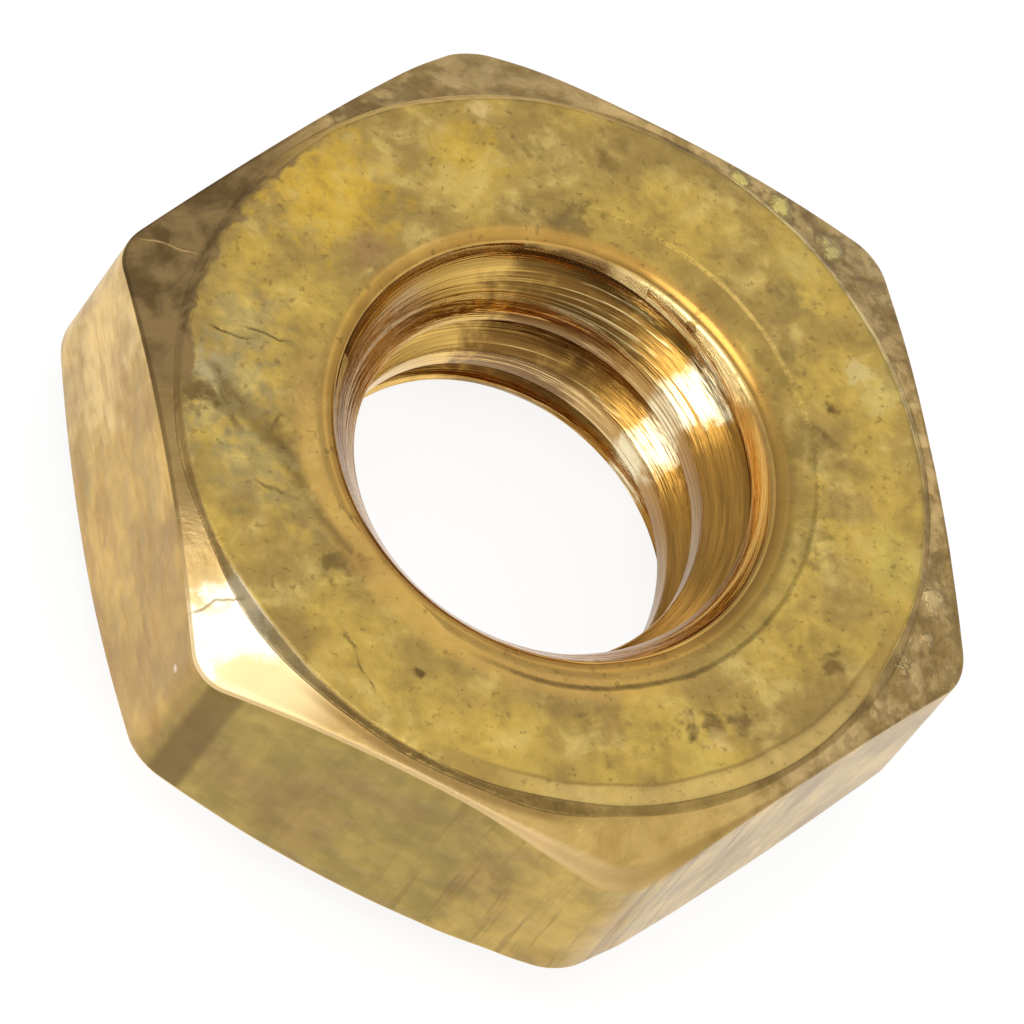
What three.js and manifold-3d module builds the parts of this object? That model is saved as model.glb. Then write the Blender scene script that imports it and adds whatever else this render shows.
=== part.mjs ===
// A hexagonal jam nut in brass, 1/4-20 UNC, as one solid with a real helical thread.
// Millimetres. The thread's axis is Z, the lower bearing face is at z = 0, and +X and -X
// point through two opposite wrench flats.
import * as THREE from 'three';
import { mergeVertices } from 'three/addons/utils/BufferGeometryUtils.js';
import Module from 'manifold-3d';

// Hexagonal blank
const ACROSS_FLATS = 11.11;
const THICKNESS = 3.97;
const CORNER_RADIUS = 0.7;
const CORNER_SEGMENTS = 6;
const HEX_SIDES = 6;

// Chamfers that turn the hexagon's ends into round bearing faces
const UPPER_FACE_DIAMETER = 10.64;
const UPPER_CHAMFER_DEGREES = 24.6;
const LOWER_FACE_DIAMETER = 9.07;
const LOWER_CHAMFER_DEGREES = 29.8;
const CHAMFER_SEGMENTS = 120;

// Thread, 20 turns to the inch, right-handed
const PITCH = 25.4 / 20;
const MAJOR_DIAMETER = 6.35;
const MINOR_DIAMETER = 4.98;
const FLANK_DEGREES = 30;
const ROOT_FLAT = PITCH / 16;
const THREAD_STEPS_PER_TURN = 72;
// Height of a crest's middle where the helix crosses the +X direction
const CREST_HEIGHT_AT_X = 0.16;

// Countersinks at both mouths of the hole, with the angle measured from the thread's axis
const COUNTERSINK_DIAMETER = 6.4;
const COUNTERSINK_DEGREES = 36;
const COUNTERSINK_SEGMENTS = 72;

// Cutting and trimming solids run this far past the surface that they cut
const OVERSHOOT = 1.0;

const wasm = await Module();
wasm.setup();

const radians = THREE.MathUtils.degToRad;

// A closed three.js geometry as a solid that can be joined and cut
function toSolid(geometry) {
  const bare = geometry.clone();
  bare.deleteAttribute('normal');
  bare.deleteAttribute('uv');
  const merged = mergeVertices(bare);
  return new wasm.Manifold(new wasm.Mesh({
    numProp: 3,
    vertProperties: new Float32Array(merged.attributes.position.array),
    triVerts: new Uint32Array(merged.index.array),
  }));
}

function toGeometry(solid) {
  const mesh = solid.getMesh();
  const geometry = new THREE.BufferGeometry();
  geometry.setAttribute('position', new THREE.BufferAttribute(mesh.vertProperties, 3));
  geometry.setIndex(new THREE.BufferAttribute(mesh.triVerts, 1));
  return geometry;
}

// A solid of revolution about Z from [radius, height] points that start and end on the axis
function turned(profile, segments) {
  const points = profile.map(([radius, height]) => new THREE.Vector2(radius, height));
  return toSolid(new THREE.LatheGeometry(points, segments).rotateX(Math.PI / 2));
}

// The bar that the nut is cut from: a hexagon with rounded corners, longer than the nut
function hexagonalBar() {
  const cornerCentreDistance = (ACROSS_FLATS / 2 - CORNER_RADIUS) / Math.cos(Math.PI / HEX_SIDES);
  const outline = new THREE.Shape();
  for (let side = 0; side < HEX_SIDES; side += 1) {
    const flatBefore = (side * 2 * Math.PI) / HEX_SIDES;
    const flatAfter = ((side + 1) * 2 * Math.PI) / HEX_SIDES;
    const corner = (flatBefore + flatAfter) / 2;
    outline.absarc(
      cornerCentreDistance * Math.cos(corner),
      cornerCentreDistance * Math.sin(corner),
      CORNER_RADIUS,
      flatBefore,
      flatAfter,
      false,
    );
  }
  outline.closePath();
  const bar = new THREE.ExtrudeGeometry(outline, {
    depth: THICKNESS + 2 * OVERSHOOT,
    bevelEnabled: false,
    curveSegments: CORNER_SEGMENTS,
  });
  return toSolid(bar.translate(0, 0, -OVERSHOOT));
}

// The round envelope that cuts both faces flat and chamfers the hexagon's corners
function chamferEnvelope() {
  const reach = ACROSS_FLATS / 2 / Math.cos(Math.PI / HEX_SIDES) + OVERSHOOT;
  const upperRadius = UPPER_FACE_DIAMETER / 2;
  const lowerRadius = LOWER_FACE_DIAMETER / 2;
  const upperDrop = (reach - upperRadius) * Math.tan(radians(UPPER_CHAMFER_DEGREES));
  const lowerRise = (reach - lowerRadius) * Math.tan(radians(LOWER_CHAMFER_DEGREES));
  return turned([
    [0, 0],
    [lowerRadius, 0],
    [reach, lowerRise],
    [reach, THICKNESS - upperDrop],
    [upperRadius, THICKNESS],
    [0, THICKNESS],
  ], CHAMFER_SEGMENTS);
}

// One turn's profile, from the middle of a crest up to just before the next one: radius at
// each corner and its height above the crest's middle. A crest stands in to the minor
// diameter and a root is cut out to the major diameter.
function threadProfile() {
  const flankHeight = ((MAJOR_DIAMETER - MINOR_DIAMETER) / 2) * Math.tan(radians(FLANK_DEGREES));
  const crestFlat = PITCH - ROOT_FLAT - 2 * flankHeight;
  const rootStart = crestFlat / 2 + flankHeight;
  return [
    { radius: MINOR_DIAMETER / 2, rise: 0 },
    { radius: MINOR_DIAMETER / 2, rise: crestFlat / 2 },
    { radius: MAJOR_DIAMETER / 2, rise: rootStart },
    { radius: MAJOR_DIAMETER / 2, rise: rootStart + ROOT_FLAT },
    { radius: MINOR_DIAMETER / 2, rise: PITCH - crestFlat / 2 },
  ];
}

// The tap: a solid in the shape of the threaded hole, as a strip one turn high that winds
// up the axis, so each edge follows the thread, and a fan to the axis at each end.
function tap() {
  const profile = threadProfile();
  const corners = profile.length;
  const turnsBelow = Math.ceil((OVERSHOOT + CREST_HEIGHT_AT_X) / PITCH) + 1;
  const turnsAbove = Math.ceil((THICKNESS + OVERSHOOT) / PITCH);
  const stripSteps = (turnsBelow + turnsAbove) * THREAD_STEPS_PER_TURN;
  const startHeight = CREST_HEIGHT_AT_X - turnsBelow * PITCH;

  const positions = [];
  for (let step = 0; step <= stripSteps + THREAD_STEPS_PER_TURN; step += 1) {
    const turn = step / THREAD_STEPS_PER_TURN;
    const angle = turn * 2 * Math.PI;
    for (const { radius, rise } of profile) {
      positions.push(
        radius * Math.cos(angle),
        radius * Math.sin(angle),
        startHeight + turn * PITCH + rise,
      );
    }
  }
  const lowerCentre = positions.length / 3;
  positions.push(0, 0, startHeight);
  const upperCentre = lowerCentre + 1;
  positions.push(0, 0, startHeight + (stripSteps / THREAD_STEPS_PER_TURN + 1) * PITCH);

  // The corner after a profile's last one is the first corner of the turn above
  const pointAt = (step, corner) => (
    corner < corners ? step * corners + corner : (step + THREAD_STEPS_PER_TURN) * corners
  );
  // Corners round an end of the strip: once round along the first corner, then back along
  // the profile
  const endLoop = (firstStep) => {
    const loop = [];
    for (let step = 0; step < THREAD_STEPS_PER_TURN; step += 1) {
      loop.push(pointAt(firstStep + step, 0));
    }
    for (let corner = corners; corner > 0; corner -= 1) {
      loop.push(pointAt(firstStep, corner));
    }
    return loop;
  };

  const triangles = [];
  for (let step = 0; step < stripSteps; step += 1) {
    for (let corner = 0; corner < corners; corner += 1) {
      const near = pointAt(step, corner);
      const far = pointAt(step + 1, corner);
      const nearAbove = pointAt(step, corner + 1);
      const farAbove = pointAt(step + 1, corner + 1);
      triangles.push(near, far, farAbove, near, farAbove, nearAbove);
    }
  }
  const lowerLoop = endLoop(0);
  const upperLoop = endLoop(stripSteps);
  lowerLoop.forEach((point, place) => {
    triangles.push(lowerCentre, lowerLoop[(place + 1) % lowerLoop.length], point);
  });
  upperLoop.forEach((point, place) => {
    triangles.push(upperCentre, point, upperLoop[(place + 1) % upperLoop.length]);
  });

  // Corners of the last turn that no triangle uses are left out
  const used = [...new Set(triangles)];
  const newPlace = new Map(used.map((point, place) => [point, place]));
  const usedPositions = used.flatMap((point) => positions.slice(3 * point, 3 * point + 3));
  return new wasm.Manifold(new wasm.Mesh({
    numProp: 3,
    vertProperties: new Float32Array(usedPositions),
    triVerts: new Uint32Array(triangles.map((point) => newPlace.get(point))),
  }));
}

// A cone that opens one mouth of the hole. direction is 1 at the upper face, -1 at the lower.
function countersink(faceHeight, direction) {
  const radius = COUNTERSINK_DIAMETER / 2;
  const slope = 1 / Math.tan(radians(COUNTERSINK_DEGREES));
  const apex = [0, faceHeight - direction * radius * slope];
  const rim = [radius + OVERSHOOT / slope, faceHeight + direction * OVERSHOOT];
  const centre = [0, faceHeight + direction * OVERSHOOT];
  const upward = [apex, rim, centre];
  return turned(direction > 0 ? upward : upward.reverse(), COUNTERSINK_SEGMENTS);
}

function hexNut() {
  const solid = hexagonalBar()
    .intersect(chamferEnvelope())
    .subtract(tap())
    .subtract(countersink(THICKNESS, 1))
    .subtract(countersink(0, -1));
  const brass = new THREE.MeshStandardMaterial({
    color: 0xb5954f,
    roughness: 0.4,
    metalness: 0.9,
  });
  const mesh = new THREE.Mesh(toGeometry(solid), brass);
  mesh.name = 'hex_nut';
  return mesh;
}

const part = new THREE.Group();
part.add(hexNut());

export default part;
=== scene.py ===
"""Looks for a brass hexagonal jam nut, in metres.

One closed mesh stands for the nut: rounded edges, a real helical thread, and the dents and
draw lines of a used part. Its brass is tarnished outside and bright inside the hole.
"""
import math

import bpy
import numpy as np
from mathutils import Matrix, Vector, noise


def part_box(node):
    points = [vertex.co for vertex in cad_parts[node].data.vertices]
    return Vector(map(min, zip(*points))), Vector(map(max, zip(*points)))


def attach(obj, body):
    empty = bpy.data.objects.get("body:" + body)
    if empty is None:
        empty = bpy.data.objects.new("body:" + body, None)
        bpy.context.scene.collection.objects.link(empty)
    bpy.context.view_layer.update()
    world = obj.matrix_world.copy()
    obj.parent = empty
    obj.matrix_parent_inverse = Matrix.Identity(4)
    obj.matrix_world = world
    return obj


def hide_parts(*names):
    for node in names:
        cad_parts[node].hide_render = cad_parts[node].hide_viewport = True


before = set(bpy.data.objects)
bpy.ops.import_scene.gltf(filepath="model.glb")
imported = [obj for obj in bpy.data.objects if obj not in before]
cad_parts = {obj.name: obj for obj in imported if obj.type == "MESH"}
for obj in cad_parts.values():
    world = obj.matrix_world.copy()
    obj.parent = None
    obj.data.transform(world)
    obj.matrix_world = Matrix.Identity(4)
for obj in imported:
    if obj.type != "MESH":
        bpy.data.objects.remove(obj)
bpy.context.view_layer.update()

MM = 0.001
NODE = "hex_nut"
BODY = "root"

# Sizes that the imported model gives
node_low, node_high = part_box(NODE)
ACROSS_FLATS = node_high[0] - node_low[0]
THICKNESS = node_high[2] - node_low[2]
MIDDLE = Vector((0, 0, THICKNESS / 2))

# Hexagon
SIDES = 6
CORNER_RADIUS = 0.7 * MM
SECTOR = 2 * math.pi / SIDES

# Faces and chamfers
UPPER_FACE_RADIUS = 5.32 * MM
UPPER_CHAMFER = math.radians(24.6)
LOWER_FACE_RADIUS = 4.535 * MM
LOWER_CHAMFER = math.radians(29.8)
RIM_BEVEL = 0.055 * MM
RIM_UNEVENNESS = 1.1
RIM_WAVES = 3
RIM_WAVE_SLICE = 2.0

# Thread
PITCH = 25.4 / 20 * MM
MAJOR_RADIUS = 3.175 * MM
MINOR_RADIUS = 2.49 * MM
FLANK = math.radians(30)
ROOT_FLAT = PITCH / 16
CREST_HEIGHT_AT_X = 0.16 * MM

# Countersinks
MOUTH_RADIUS = 3.2 * MM
COUNTERSINK = math.radians(36)

# Radii of the rounded edges
MOUTH_ROUND = 0.34 * MM
RIM_ROUND = 0.12 * MM
FLAT_EDGE_ROUND = 0.07 * MM
WORN_EDGE_ROUND = 0.4 * MM
CREST_ROUND = 0.06 * MM
ROOT_ROUND = 0.05 * MM
# An arc takes up no more than this share of either edge beside it
ARC_SHARE = 0.45

# Corners that are worn back, by azimuth, and how many degrees a worn place spreads
CORNER_KNOCKS = {90: 0.12 * MM, 270: 0.08 * MM}
KNOCK_WIDTH = 6.0
WORN_CORNER = 270
WORN_WIDTH = 13.0

# Where the helix meets the mouths: how near a mouth its points join the rim, how steeply the
# groove runs out there, and over what depth the thread blends into the countersink
JOIN_DEPTH = 0.012 * MM
RUN_OUT_SLOPE = 0.8
WALL_BLEND = 0.05 * MM

# Wear as layers of noise: depth in mm, fineness along X, Y and Z, and an offset along Z that
# keeps the layers apart
BORE_WEAR = (0.003, (1.3, 1.3, 5), 0)
OUTSIDE_WEAR = ((0.006, (0.55, 0.55, 0.55), 7), (0.0022, (1.9, 1.9, 1.9), 3))
REGION_WEAR = {
    "flat": (0.003, (3.1, 3.1, 0.15), 0),
    "chamfer": (0.006, (1.6, 1.6, 1.6), 11),
}
CORNER_WEAR = (0.03, (1.7, 1.7, 1.7), 5)

# The fineness of the mesh
COLUMNS = 600
CORNER_CROWDING = 0.62
ROUND_STEPS = 5
THREAD_ROUND_STEPS = 4
FACE_ROWS = 16
BEVEL_ROWS = 1
CHAMFER_ROWS = 5
FLAT_ROWS = 12
FLANK_ROWS = 2

# Camera: a long lens looking down on the nut from its side, turned about its own axis
CAMERA_AZIMUTH = math.radians(-133.6)
CAMERA_ELEVATION = math.radians(55.1)
CAMERA_ROLL = math.radians(38.35)
CAMERA_DISTANCE = 162.6 * MM
CAMERA_LENS = 422.2
SENSOR_WIDTH = 36.0
AIM_RIGHT = 0.8 * MM
AIM_UP = 0.92 * MM

LIGHT_DISTANCE = 100 * MM

# A dark part of the surround, in degrees: azimuth, elevation, where it starts and is darkest
DARK_PART = (-134, 22, 62, 18)

# The surround's strength where it lights the nut, what overhead adds and the dark part takes,
# and the grey of it that the camera sees
SURROUND_STRENGTH = 0.6
OVERHEAD_GAIN = 0.45
DARK_PART_LOSS = 0.5
BACKDROP_GREY = 0.98

# Lights: name, azimuth, elevation, width, height and brightness
SOFTBOXES = (
    ("key", -162, 68, 30, 30, 2.6),
    ("fill", 46, 50, 50, 50, 0.25),
    ("low_left", -120, 17, 28, 9, 2.4),
    ("low_right", -168, 14, 34, 9, 2.4),
)

# The floor lies just under the nut
FLOOR_HALF = 3.0
FLOOR_LEVEL = -0.02 * MM
FLOOR_GREY = 0.16
FLOOR_ROUGHNESS = 0.9
FLOOR_GLOW = 0.88


# ---------------------------------------------------------------- shape

def column_angles():
    """Directions of the mesh's columns, closer together at the corners than on the flats."""
    even = np.arange(COLUMNS) * 2 * math.pi / COLUMNS
    return even + CORNER_CROWDING / SIDES * np.sin(SIDES * even)


def near(angle, azimuth, width):
    """1 at an azimuth, fading away over a width. Degrees, but for the angle in radians."""
    away = (np.degrees(angle) - azimuth + 180) % 360 - 180
    return np.exp(-(away / width) ** 2)


def hexagon_radius(angle):
    """Distance from the axis to the rounded hexagon in each direction."""
    apothem = ACROSS_FLATS / 2
    from_flat = np.abs((angle + SECTOR / 2) % SECTOR - SECTOR / 2)
    inner = apothem - CORNER_RADIUS
    flat_end = np.arctan2(inner * math.tan(SECTOR / 2), apothem)
    on_flat = apothem / np.cos(from_flat)
    centre = inner / math.cos(SECTOR / 2)
    from_corner = SECTOR / 2 - from_flat
    sideways = centre * np.sin(from_corner)
    on_corner = centre * np.cos(from_corner) + np.sqrt(
        np.maximum(CORNER_RADIUS ** 2 - sideways ** 2, 0))
    radius = np.where(from_flat > flat_end, on_corner, on_flat)
    for corner, knock in CORNER_KNOCKS.items():
        radius = radius - knock * near(angle, corner, KNOCK_WIDTH)
    return radius


def points(radius, height):
    """One (radius, height) point for every column."""
    shape = (COLUMNS,)
    return np.stack([np.broadcast_to(radius, shape), np.broadcast_to(height, shape)], -1)


def rounded(before, corner, after, radius, steps=ROUND_STEPS):
    """The arc that rounds a corner of the profile, as a list of point rows."""
    back = before - corner
    ahead = after - corner
    back_length = np.linalg.norm(back, axis=-1, keepdims=True)
    ahead_length = np.linalg.norm(ahead, axis=-1, keepdims=True)
    back = back / back_length
    ahead = ahead / ahead_length
    cosine = np.clip(np.sum(back * ahead, axis=-1, keepdims=True), -1, 1)
    half = np.arccos(cosine) / 2
    room = ARC_SHARE * np.minimum(back_length, ahead_length)
    setback = np.minimum(radius / np.tan(half), room)
    real_radius = setback * np.tan(half)
    inward = back + ahead
    inward = inward / np.linalg.norm(inward, axis=-1, keepdims=True)
    centre = corner + inward * real_radius / np.sin(half)
    start = corner + setback * back - centre
    end = corner + setback * ahead - centre
    turn = math.pi - 2 * half
    rows = []
    for share in np.linspace(0, 1, steps):
        arm = (np.sin((1 - share) * turn) * start + np.sin(share * turn) * end) / np.sin(turn)
        rows.append(centre + arm)
    return rows


def between(start, end, count):
    """Evenly spaced rows strictly between two rows."""
    shares = np.arange(1, count + 1) / (count + 1)
    return [start + (end - start) * share for share in shares]


def unevenness(angle):
    """A gentle wave round the nut, between -0.5 and 0.5 or so, the same every time."""
    return np.array([
        noise.noise(Vector((
            RIM_WAVES * math.cos(turn),
            RIM_WAVES * math.sin(turn),
            RIM_WAVE_SLICE,
        )))
        for turn in angle
    ])


def cone_radius(height):
    """Radius of the countersinks at a height: the wider of the two cones."""
    spread = math.tan(COUNTERSINK)
    upper = MOUTH_RADIUS - (THICKNESS - height) * spread
    lower = MOUTH_RADIUS - height * spread
    return np.maximum(upper, lower)


def outer_corners(angle):
    """The outside's profile before its corners are rounded, from the upper to the lower cone."""
    hexagon = hexagon_radius(angle)
    upper_edge = THICKNESS - (hexagon - UPPER_FACE_RADIUS) * math.tan(UPPER_CHAMFER)
    lower_edge = (hexagon - LOWER_FACE_RADIUS) * math.tan(LOWER_CHAMFER)
    below_mouth = MOUTH_RADIUS / math.tan(COUNTERSINK)
    bevel = RIM_BEVEL * (1 + RIM_UNEVENNESS * unevenness(angle))
    bevel_run = bevel / (1 - math.tan(UPPER_CHAMFER))
    return [
        points(0, THICKNESS - below_mouth),
        points(MOUTH_RADIUS, THICKNESS),
        points(UPPER_FACE_RADIUS - bevel, THICKNESS),
        points(UPPER_FACE_RADIUS - bevel + bevel_run, THICKNESS - bevel_run),
        points(hexagon, upper_edge),
        points(hexagon, lower_edge),
        points(LOWER_FACE_RADIUS, 0),
        points(MOUTH_RADIUS, 0),
        points(0, below_mouth),
    ]


def outer_rows(angle):
    """Rows of (radius, height) points from the upper mouth over the outside to the lower mouth."""
    corners = outer_corners(angle)
    worn = near(angle, WORN_CORNER, WORN_WIDTH)[:, np.newaxis]
    edge_round = FLAT_EDGE_ROUND + (WORN_EDGE_ROUND - FLAT_EDGE_ROUND) * worn
    radii = [MOUTH_ROUND, RIM_ROUND, RIM_ROUND, edge_round, FLAT_EDGE_ROUND,
             RIM_ROUND, MOUTH_ROUND]
    names = ["face", "bevel", "chamfer", "flat", "chamfer", "face", "face"]
    counts = [FACE_ROWS, BEVEL_ROWS, CHAMFER_ROWS, FLAT_ROWS, CHAMFER_ROWS, FACE_ROWS // 2]
    rows = []
    regions = []
    for place, radius in enumerate(radii):
        arc = rounded(corners[place], corners[place + 1], corners[place + 2], radius)
        if rows:
            filling = between(rows[-1], arc[0], counts[place - 1])
            rows += filling
            regions += [names[place - 1]] * len(filling)
        rows += arc
        before = names[place - 1] if place else "face"
        half = len(arc) // 2
        if "flat" in (before, names[place]):
            regions += [before] + ["edge"] * (len(arc) - 2) + [names[place]]
        else:
            regions += [before] * (half + 1) + [names[place]] * half
    regions[0] = "bore"
    regions[-1] = "bore"
    return rows, regions


def thread_profile():
    """(rise, radius) of the thread's profile over one pitch, from a crest's middle upwards."""
    depth = MAJOR_RADIUS - MINOR_RADIUS
    flank_rise = depth * math.tan(FLANK)
    crest_half = (PITCH - ROOT_FLAT - 2 * flank_rise) / 2
    corners = [
        (-crest_half, MINOR_RADIUS),
        (crest_half, MINOR_RADIUS),
        (crest_half + flank_rise, MAJOR_RADIUS),
        (crest_half + flank_rise + ROOT_FLAT, MAJOR_RADIUS),
        (PITCH - crest_half, MINOR_RADIUS),
        (PITCH + crest_half, MINOR_RADIUS),
    ]
    corners = [np.array([corner]) for corner in corners]
    radii = [CREST_ROUND, ROOT_ROUND, ROOT_ROUND, CREST_ROUND]
    rows = [np.array([[0.0, MINOR_RADIUS]])]
    for place, radius in enumerate(radii):
        arc = rounded(corners[place], corners[place + 1], corners[place + 2], radius,
                      THREAD_ROUND_STEPS)
        ends_a_flank = place % 2 == 1
        filling = FLANK_ROWS if ends_a_flank else 0
        rows += between(rows[-1], arc[0], filling) + arc
    profile = np.concatenate(rows)
    return profile[:, 0], profile[:, 1]


def thread_rows(angle, low, high):
    """Heights and radii of the hole's wall on rows that follow the thread."""
    rise, radius = thread_profile()
    first = math.floor((low - CREST_HEIGHT_AT_X) / PITCH) - 2
    last = math.ceil((high - CREST_HEIGHT_AT_X) / PITCH) + 1
    heights = []
    radii = []
    for turn in range(first, last):
        base = CREST_HEIGHT_AT_X + turn * PITCH
        for step_rise, step_radius in zip(rise, radius):
            heights.append(base + step_rise + PITCH * angle / (2 * math.pi))
            radii.append(np.full(COLUMNS, step_radius))
    return np.array(heights), np.array(radii), len(rise)


def soft_maximum(first, second, width):
    """The larger of two values, blended over a width where they cross."""
    overlap = np.maximum(width - np.abs(first - second), 0) / width
    return np.maximum(first, second) + overlap ** 2 * width / 4


class Surface:
    """Gathers vertices, their attributes and faces."""

    def __init__(self):
        self.places = []
        self.region = []
        self.phase = []
        self.faces = []

    def add_row(self, radius, height, angle, region, phase):
        first = len(self.places)
        for column in range(len(angle)):
            self.places.append((
                radius[column] * math.cos(angle[column]),
                radius[column] * math.sin(angle[column]),
                height[column],
            ))
            self.region.append(region)
            self.phase.append(phase)
        return list(range(first, first + len(angle)))

    def add_point(self, radius, height, angle, region, phase):
        self.places.append((radius * math.cos(angle), radius * math.sin(angle), height))
        self.region.append(region)
        self.phase.append(phase)
        return len(self.places) - 1

    def add_face(self, corners):
        distinct = [c for place, c in enumerate(corners) if c != corners[place - 1]]
        if len(set(distinct)) >= 3:
            self.faces.append(distinct)

    def join_rows(self, first, second):
        count = len(first)
        for column in range(count):
            after = (column + 1) % count
            self.add_face([first[column], second[column], second[after], first[after]])


def build_outside(surface, angle):
    """Adds the outside and returns the rows of vertices at the upper and lower mouths."""
    rows, regions = outer_rows(angle)
    made = []
    for row, region in zip(rows, regions):
        made.append(surface.add_row(row[:, 0], row[:, 1], angle, region, 0.0))
    for upper, lower in zip(made, made[1:]):
        surface.join_rows(upper, lower)
    return made[0], made[-1], rows[0][0, 1], rows[-1][0, 1]


def build_hole(surface, angle, upper_ring, lower_ring, upper_limit, lower_limit):
    """Adds the threaded wall between the two mouths."""
    heights, radii, per_turn = thread_rows(angle, lower_limit, upper_limit)
    cone = cone_radius(heights)
    to_end = np.minimum(upper_limit - heights, heights - lower_limit)
    groove = np.minimum(radii, cone + np.maximum(to_end, 0) * RUN_OUT_SLOPE)
    wall = soft_maximum(groove, cone, WALL_BLEND)
    phases = np.arange(len(heights)) % per_turn / per_turn * 2 * math.pi
    ids = np.zeros(heights.shape, dtype=int)
    for row in range(len(heights)):
        for column in range(COLUMNS):
            height = heights[row, column]
            if height > upper_limit - JOIN_DEPTH:
                ids[row, column] = upper_ring[column]
            elif height < lower_limit + JOIN_DEPTH:
                ids[row, column] = lower_ring[column]
            else:
                ids[row, column] = surface.add_point(
                    wall[row, column], height, angle[column], "bore", phases[row])
    for row in range(len(heights) - 1):
        for column in range(COLUMNS):
            if column + 1 < COLUMNS:
                right, right_above = ids[row, column + 1], ids[row + 1, column + 1]
            elif row + 1 + per_turn < len(heights):
                right, right_above = ids[row + per_turn, 0], ids[row + 1 + per_turn, 0]
            else:
                continue
            left, left_above = ids[row, column], ids[row + 1, column]
            surface.add_face([int(left), int(left_above), int(right_above), int(right)])


def wear_layer(place, layer):
    """How far one layer of wear moves the surface at a place, both in millimetres."""
    depth, fineness, offset = layer
    x, y, z = (value * scale for value, scale in zip(place, fineness))
    return depth * noise.noise(Vector((x, y, z + offset)))


def wear(place, region):
    """How far the surface stands in or out at a point: dents, waves and draw lines."""
    place = [value / MM for value in place]
    if region == "bore":
        return wear_layer(place, BORE_WEAR) * MM
    shift = sum(wear_layer(place, layer) for layer in OUTSIDE_WEAR)
    if region in REGION_WEAR:
        shift += wear_layer(place, REGION_WEAR[region])
    worn = near(math.atan2(place[1], place[0]), WORN_CORNER, WORN_WIDTH)
    shift += worn * wear_layer(place, CORNER_WEAR)
    return shift * MM


def build_nut():
    """The nut's mesh object, with the attributes that its material reads."""
    angle = column_angles()
    surface = Surface()
    upper_ring, lower_ring, upper_limit, lower_limit = build_outside(surface, angle)
    build_hole(surface, angle, upper_ring, lower_ring, upper_limit, lower_limit)
    mesh = bpy.data.meshes.new("nut")
    mesh.from_pydata(surface.places, [], surface.faces)
    mesh.validate()
    mesh.update()
    normals = [vertex.normal.copy() for vertex in mesh.vertices]
    for vertex, normal, region in zip(mesh.vertices, normals, surface.region):
        vertex.co += normal * wear(vertex.co, region)
    add_attributes(mesh, surface)
    mesh.polygons.foreach_set("use_smooth", [True] * len(mesh.polygons))
    mesh.update()
    nut = bpy.data.objects.new("nut", mesh)
    bpy.context.collection.objects.link(nut)
    return nut


def add_attributes(mesh, surface):
    """Masks for each kind of surface, and the thread's phase."""
    region = np.array(surface.region)
    phase = np.array(surface.phase)
    values = {
        "face": region == "face",
        "bevel": region == "bevel",
        "flat": region == "flat",
        "bore": region == "bore",
        "edge": region == "edge",
        "thread_cosine": np.cos(phase),
        "thread_sine": np.sin(phase),
    }
    for name, data in values.items():
        attribute = mesh.attributes.new(name, "FLOAT", "POINT")
        attribute.data.foreach_set("value", data.astype(np.float32))


# ---------------------------------------------------------------- material

# Places of the sockets of Blender's Mix node, which has several of each name
MIX_FACTOR = 0
MIX_FIRST_VALUE = 2
MIX_SECOND_VALUE = 3
MIX_FIRST_COLOUR = 6
MIX_SECOND_COLOUR = 7
MIXED_VALUE = 0
MIXED_COLOUR = 2

# How fast noise changes across and along the thread, and along the bar against across it
ACROSS_THREAD = 4
ALONG_THREAD = 0.3
ALONG_BAR = 0.06

# How strongly the patterns of noise bend a scratch off its straight line, in mm
SCRATCH_BEND = 0.8
SCRATCH_FRAYING = 0.1

# How ragged a spot's edge is, and the share of its size at which it reaches full strength
SPOT_RAGGEDNESS = 1.2
SPOT_CORE = 0.25

# Fine relief, in mm
SKIN_RELIEF = 0.010
BLOTCH_RELIEF = 0.04
RECESS_DEPTH = 0.045
STEP_DEPTH = 0.03
CRACK_DEPTH = 0.01
LUMP_HEIGHT = 0.04
RIM_RELIEF = 0.015
DRAW_LINE_RELIEF = 0.006
TOOL_MARK_RELIEF = 0.012

# Roughness of the plain brass, and what each kind of place adds to it
PLAIN_ROUGHNESS = 0.3
BLOTCH_ROUGHNESS = 0.16
BORE_ROUGHNESS = -0.2
LIP_ROUGHNESS = -0.14
EDGE_ROUGHNESS = 0.25
STAIN_ROUGHNESS = 0.3

# The shallow recess round the mouth and the step where the facing cut ends. Each is a circle a
# little off centre: the azimuth and distance of its centre, then its radius, in degrees and mm.
RECESS_CENTRE = (60, 0.13)
RECESS_RADIUS = 3.77
RECESS_FLOOR_RADIUS = 3.66
STEP_CENTRE = (97, 0.2)
STEP_RADIUS = 5.17


def node(tree, kind, inputs=None, **settings):
    """Adds a shader node. An input is a value, or a socket to link from."""
    made = tree.nodes.new(kind)
    for name, value in settings.items():
        setattr(made, name, value)
    for name, value in (inputs or {}).items():
        if isinstance(value, bpy.types.NodeSocket):
            tree.links.new(value, made.inputs[name])
        else:
            made.inputs[name].default_value = value
    return made


def maths(tree, operation, first, second=0.0, third=0.0):
    inputs = {0: first, 1: second, 2: third}
    return node(tree, "ShaderNodeMath", inputs, operation=operation).outputs[0]


def inverse(tree, mask):
    """0 where a mask is 1, and 1 where it is 0."""
    return maths(tree, "SUBTRACT", 1.0, mask)


def mix(tree, factor, first, second, blend="MIX"):
    """A colour between two colours: the first where the factor is 0, the second where 1."""
    made = node(tree, "ShaderNodeMix", {MIX_FACTOR: factor}, data_type="RGBA", blend_type=blend)
    for place, colour in ((MIX_FIRST_COLOUR, first), (MIX_SECOND_COLOUR, second)):
        if isinstance(colour, bpy.types.NodeSocket):
            tree.links.new(colour, made.inputs[place])
        else:
            made.inputs[place].default_value = (*colour, 1.0)
    return made.outputs[MIXED_COLOUR]


def attribute(tree, name):
    return node(tree, "ShaderNodeAttribute", attribute_name=name).outputs["Fac"]


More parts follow.
